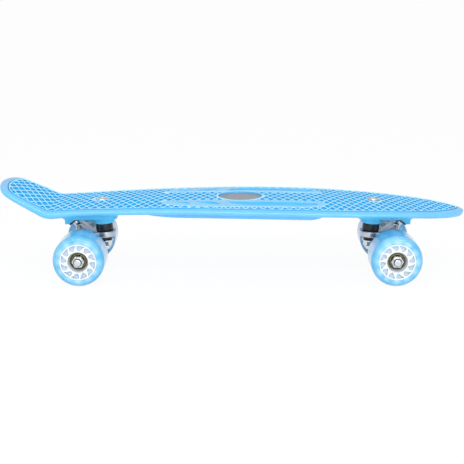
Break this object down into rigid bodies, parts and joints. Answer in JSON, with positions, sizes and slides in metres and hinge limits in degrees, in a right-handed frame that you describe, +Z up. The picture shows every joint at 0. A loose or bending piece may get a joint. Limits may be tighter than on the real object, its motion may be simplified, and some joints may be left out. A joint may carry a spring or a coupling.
{
  "type": "cruiser skateboard",
  "caption": "Small cruiser skateboard: moulded plastic deck with a kick tail and a textured face, on sprung steering trucks with cast wheels.",
  "frame": {"origin": "on the ground under the middle of the deck's length, midway between the wheels of each axle", "axes": "+X to the nose, +Y to the rider's left, +Z up from the ground through the deck"},
  "size_m": [0.5574, 0.168, 0.1102],
  "materials": {
    "deck_plastic": "light blue, moulded, satin gloss",
    "base_plastic": "mid blue, moulded, satin",
    "wheel_urethane": "light blue urethane, glossy and slightly translucent",
    "core_plastic": "white, moulded, satin",
    "black_rubber": "matte",
    "hanger_metal": "cast and polished",
    "steel": "bright zinc plated",
    "badge_metal": "grey, satin"
  },
  "bodies": {
    "board": {"deck": "deck_plastic", "badge_plate": "badge_metal", "rear_baseplate": "base_plastic", "rear_pivot_cup": "black_rubber", "rear_kingpin": "steel", "rear_top_bushing": "black_rubber", "rear_lower_bushing": "black_rubber", "rear_lower_washer": "steel", "rear_kingpin_nut": "steel", "front_baseplate": "base_plastic", "front_pivot_cup": "black_rubber", "front_kingpin": "steel", "front_top_bushing": "black_rubber", "front_lower_bushing": "black_rubber", "front_lower_washer": "steel", "front_kingpin_nut": "steel"},
    "rear_truck": {"rear_hanger": "hanger_metal", "rear_axle": "steel", "rear_left_spacer": "steel", "rear_left_outer_washer": "steel", "rear_left_inner_washer": "steel", "rear_left_axle_nut": "steel", "rear_right_spacer": "steel", "rear_right_outer_washer": "steel", "rear_right_inner_washer": "steel", "rear_right_axle_nut": "steel"},
    "rear_left_wheel": {"rear_left_tyre": "wheel_urethane", "rear_left_core": "core_plastic", "rear_left_outer_bearing": "steel", "rear_left_inner_bearing": "steel"},
    "rear_right_wheel": {"rear_right_tyre": "wheel_urethane", "rear_right_core": "core_plastic", "rear_right_outer_bearing": "steel", "rear_right_inner_bearing": "steel"},
    "front_truck": {"front_hanger": "hanger_metal", "front_axle": "steel", "front_left_spacer": "steel", "front_left_outer_washer": "steel", "front_left_inner_washer": "steel", "front_left_axle_nut": "steel", "front_right_spacer": "steel", "front_right_outer_washer": "steel", "front_right_inner_washer": "steel", "front_right_axle_nut": "steel"},
    "front_left_wheel": {"front_left_tyre": "wheel_urethane", "front_left_core": "core_plastic", "front_left_outer_bearing": "steel", "front_left_inner_bearing": "steel"},
    "front_right_wheel": {"front_right_tyre": "wheel_urethane", "front_right_core": "core_plastic", "front_right_outer_bearing": "steel", "front_right_inner_bearing": "steel"}
  },
  "joints": [
    {"name": "rear_steer", "type": "hinge", "parent": "board", "child": "rear_truck", "pos_m": [-0.1556, 0, 0.0458], "axis": [0.9004, 0, -0.4351], "range_deg": [-10, 10], "stiffness_Nm_per_rad": 25, "deforming": ["rear_top_bushing", "rear_lower_bushing"]},
    {"name": "rear_left_spin", "type": "hinge", "parent": "rear_truck", "child": "rear_left_wheel", "pos_m": [-0.178, 0.058, 0.03], "axis": [0, 1, 0], "continuous": true},
    {"name": "rear_right_spin", "type": "hinge", "parent": "rear_truck", "child": "rear_right_wheel", "pos_m": [-0.178, -0.058, 0.03], "axis": [0, 1, 0], "continuous": true},
    {"name": "front_steer", "type": "hinge", "parent": "board", "child": "front_truck", "pos_m": [0.1676, 0, 0.0458], "axis": [-0.9004, 0, -0.4351], "range_deg": [-10, 10], "stiffness_Nm_per_rad": 25, "deforming": ["front_top_bushing", "front_lower_bushing"]},
    {"name": "front_left_spin", "type": "hinge", "parent": "front_truck", "child": "front_left_wheel", "pos_m": [0.19, 0.058, 0.03], "axis": [0, 1, 0], "continuous": true},
    {"name": "front_right_spin", "type": "hinge", "parent": "front_truck", "child": "front_right_wheel", "pos_m": [0.19, -0.058, 0.03], "axis": [0, 1, 0], "continuous": true}
  ]
}
